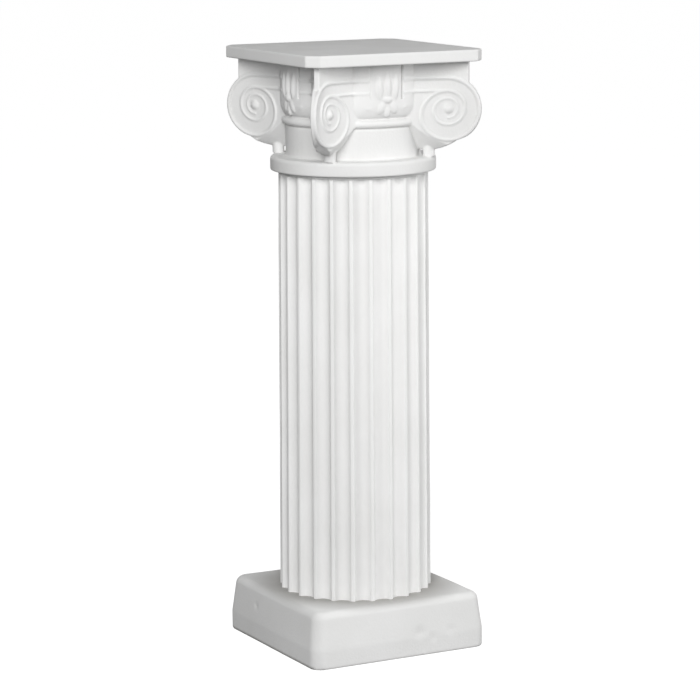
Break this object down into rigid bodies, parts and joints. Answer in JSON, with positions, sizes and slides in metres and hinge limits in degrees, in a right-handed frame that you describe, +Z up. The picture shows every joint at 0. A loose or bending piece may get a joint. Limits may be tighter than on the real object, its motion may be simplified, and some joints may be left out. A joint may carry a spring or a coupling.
{
  "type": "ionic display column",
  "caption": "Free-standing white display column: square plinth, fluted shaft and a capital with diagonal volutes under a square abacus, for a vase or bust.",
  "frame": {"origin": "middle of the plinth's underside", "axes": "+Z up the column's axis; -Y, +Y, -X and +X are the four alike faces, and the volutes stand on the diagonals"},
  "size_m": [0.329, 0.329, 1.016],
  "materials": {
    "plinth_cast": "matt white paint over cast plaster, slightly dusty, small stains near the floor",
    "shaft_cast": "matt white paint over cast plaster, faint grain",
    "capital_cast": "matt white paint over cast plaster, softened edges, faint grey in the hollows"
  },
  "bodies": {
    "root": {"plinth": "plinth_cast", "shaft": "shaft_cast", "capital": "capital_cast"}
  },
  "joints": []
}
